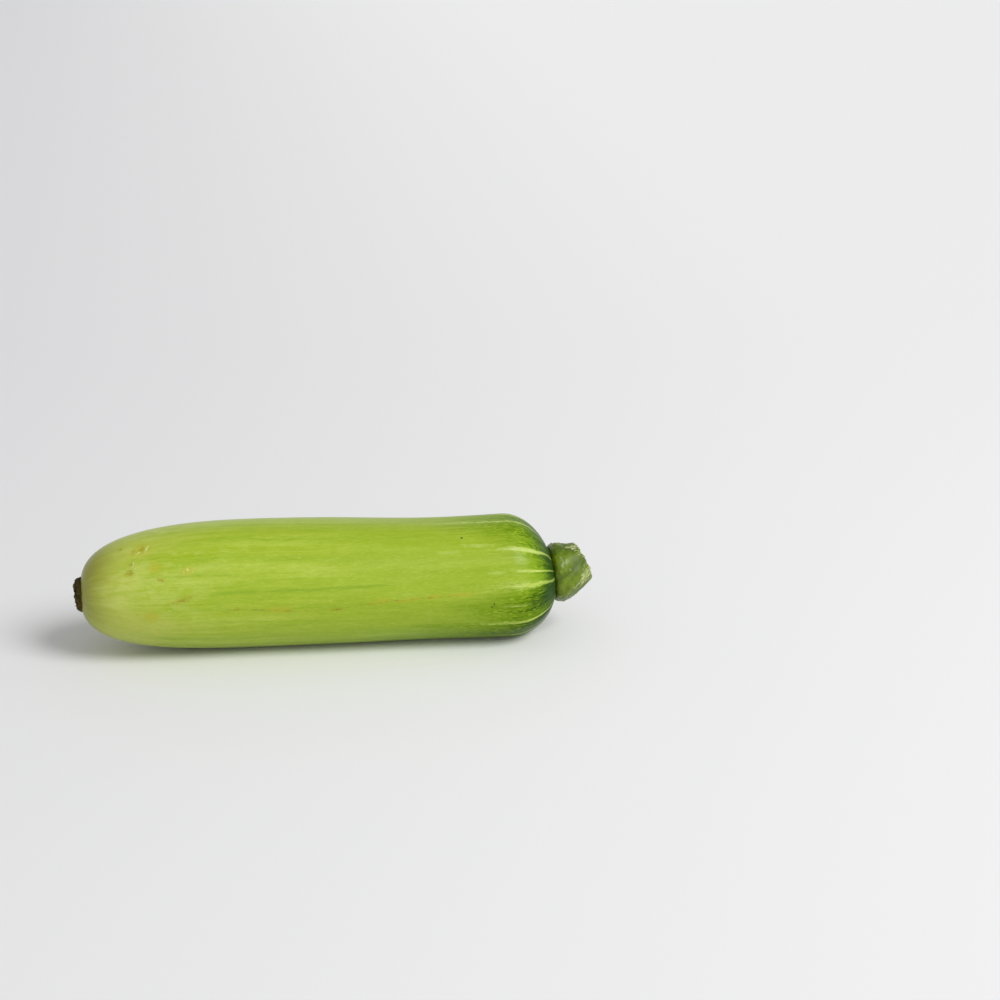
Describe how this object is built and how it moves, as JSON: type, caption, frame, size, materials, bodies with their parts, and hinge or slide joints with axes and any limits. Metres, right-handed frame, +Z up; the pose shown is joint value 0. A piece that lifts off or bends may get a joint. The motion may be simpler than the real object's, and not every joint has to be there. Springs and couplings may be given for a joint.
{
  "type": "korean zucchini",
  "caption": "Whole Korean zucchini lying on its belly, with a slanting cut stem at one end and a dried blossom scar at the other.",
  "frame": {"origin": "under the middle of the zucchini's box, on the surface that it lies on", "axes": "+X along the fruit towards the stem, +Z up"},
  "size_m": [0.202, 0.053, 0.0495],
  "materials": {
    "fruit_skin": "smooth waxy skin with a soft sheen, pale yellow-green, darker green with pale stripes towards the stem",
    "stem_green": "firm fibrous green stem with soft ridges and a pale cut",
    "scar_cork": "dry, crumpled brown cork"
  },
  "bodies": {
    "root": {"fruit": "fruit_skin", "stem": "stem_green", "blossom_scar": "scar_cork"}
  },
  "joints": []
}
